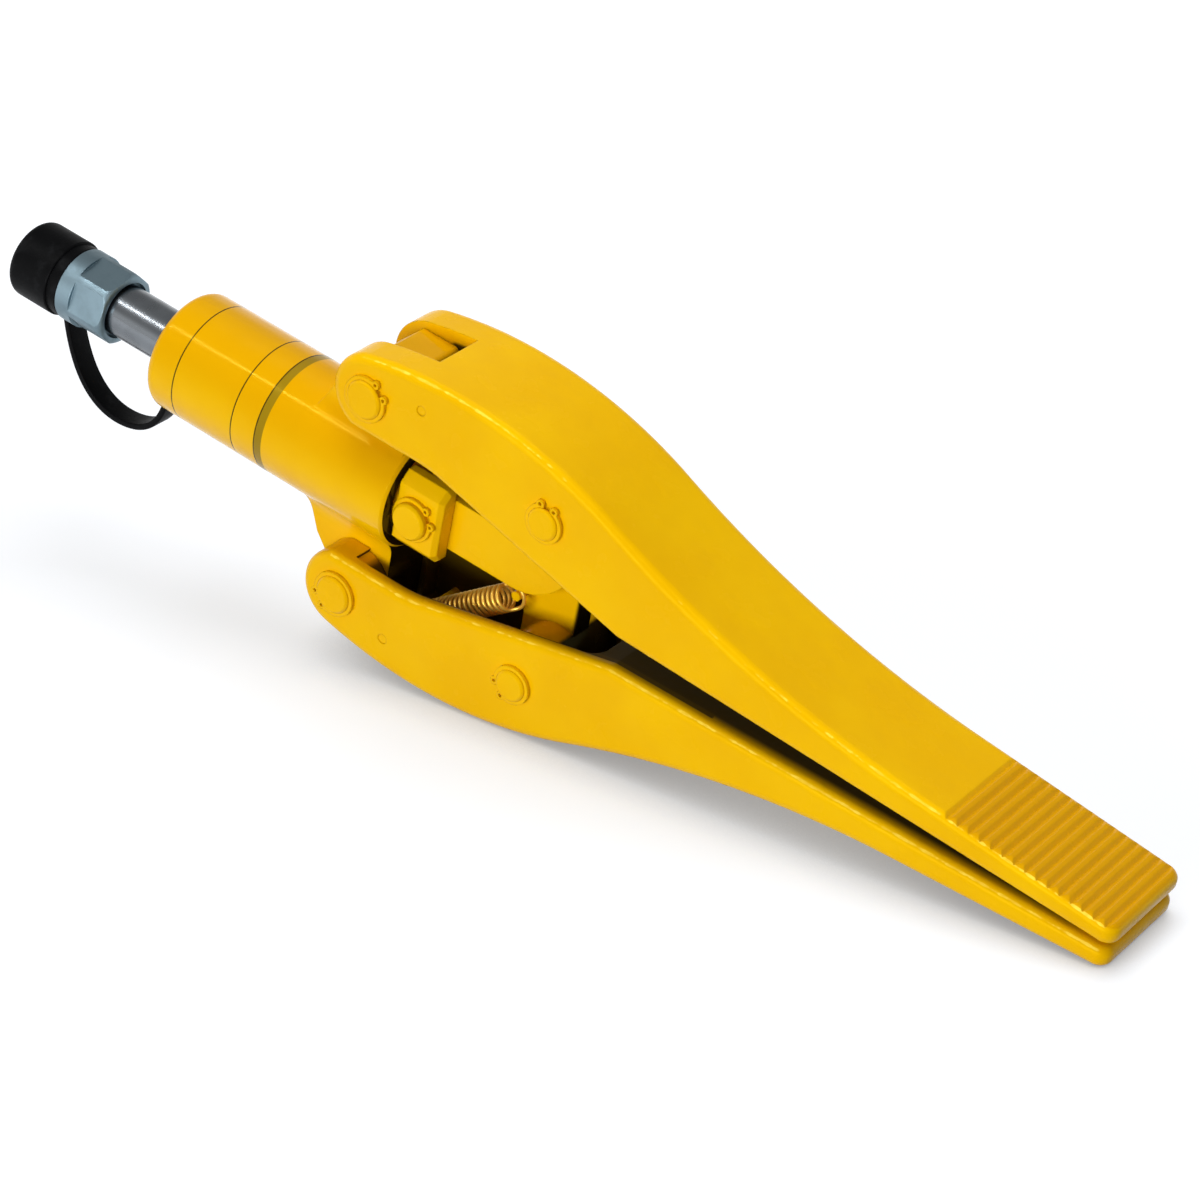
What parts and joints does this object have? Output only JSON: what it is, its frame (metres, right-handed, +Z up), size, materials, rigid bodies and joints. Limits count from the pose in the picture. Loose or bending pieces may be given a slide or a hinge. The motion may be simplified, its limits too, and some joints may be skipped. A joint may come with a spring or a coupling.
{
  "type": "hydraulic wedge spreader",
  "caption": "Hand-held hydraulic wedge spreader: a single-acting ram drives twin links that swing two slim toothed jaws apart, fed through a capped quick coupler.",
  "frame": {"origin": "centre of the bounding box's bottom, on the surface that the lower jaw's belly and tip lie on", "axes": "+X towards the jaw tips, +Y across the jaws, +Z up; the ram axis leans nose down as the tool lies"},
  "size_m": [0.3944, 0.0434, 0.1048],
  "materials": {
    "yellow_enamel": "glossy warm yellow enamel on steel",
    "plated_steel": "bright plated steel",
    "zinc_steel": "blue-grey zinc plate",
    "ground_steel": "ground steel",
    "spring_steel": "yellow passivated wire",
    "black_rubber": "satin black rubber",
    "bearing_plastic": "filled bearing plastic"
  },
  "bodies": {
    "ram": {"cylinder_body": "yellow_enamel", "inlet_adaptor": "plated_steel", "strap_ring": "black_rubber", "coupler_body": "zinc_steel", "cap_strap": "black_rubber", "poppet_spring": "spring_steel"},
    "cap": {"dust_cap": "black_rubber"},
    "poppet": {"coupler_poppet": "plated_steel"},
    "plunger": {"plunger": "ground_steel", "plunger_seal": "black_rubber", "plunger_wear_ring": "bearing_plastic", "plunger_yoke": "yellow_enamel", "clevis_pin": "yellow_enamel", "clevis_rings": "yellow_enamel"},
    "upper_jaw": {"upper_jaw": "yellow_enamel", "upper_pivot_pin": "yellow_enamel", "upper_link_pin": "yellow_enamel", "upper_jaw_rings": "yellow_enamel", "upper_spring_pin": "yellow_enamel"},
    "upper_link": {"upper_link": "yellow_enamel", "upper_hook_pin": "yellow_enamel", "upper_return_spring": "spring_steel"},
    "lower_jaw": {"lower_jaw": "yellow_enamel", "lower_pivot_pin": "yellow_enamel", "lower_link_pin": "yellow_enamel", "lower_jaw_rings": "yellow_enamel", "lower_spring_pin": "yellow_enamel"},
    "lower_link": {"lower_link": "yellow_enamel", "lower_hook_pin": "yellow_enamel", "lower_return_spring": "spring_steel"}
  },
  "joints": [
    {"name": "upper_jaw_swing", "type": "hinge", "parent": "ram", "child": "upper_jaw", "pos_m": [-0.04741, 0, 0.09199], "axis": [0, -1, 0], "range_deg": [0, 9.2], "stiffness_Nm_per_rad": 3, "springref_deg": -17.19},
    {"name": "lower_jaw_swing", "type": "hinge", "parent": "ram", "child": "lower_jaw", "pos_m": [-0.06136, 0, 0.02462], "axis": [0, 1, 0], "range_deg": [0, 9.2]},
    {"name": "upper_link_swing", "type": "hinge", "parent": "upper_jaw", "child": "upper_link", "pos_m": [0.01502, 0, 0.07293], "axis": [0, -1, 0], "range_deg": [0, 4.7], "deforming": ["upper_return_spring"]},
    {"name": "lower_link_swing", "type": "hinge", "parent": "lower_jaw", "child": "lower_link", "pos_m": [0.0035, 0, 0.01731], "axis": [0, 1, 0], "range_deg": [0, 4.7], "deforming": ["lower_return_spring"]},
    {"name": "plunger_slide", "type": "slide", "parent": "ram", "child": "plunger", "axis": [0.9792, 0, -0.2028], "range_m": [0, 0.0084]},
    {"name": "cap_pull", "type": "slide", "parent": "ram", "child": "cap", "axis": [-0.9792, 0, 0.2028], "range_m": [0, 0.02], "deforming": ["cap_strap"]},
    {"name": "poppet_press", "type": "slide", "parent": "ram", "child": "poppet", "axis": [0.9792, 0, -0.2028], "range_m": [0, 0.003], "stiffness_N_per_m": 400, "springref_m": -0.003, "deforming": ["poppet_spring"]}
  ],
  "couplings": [
    {"joint": "lower_jaw_swing", "follows": "upper_jaw_swing", "ratio": 1},
    {"joint": "upper_link_swing", "follows": "upper_jaw_swing", "ratio": 0.4966},
    {"joint": "lower_link_swing", "follows": "upper_jaw_swing", "ratio": 0.4966},
    {"joint": "plunger_slide", "follows": "upper_jaw_swing", "m_per_rad": 0.050832}
  ]
}
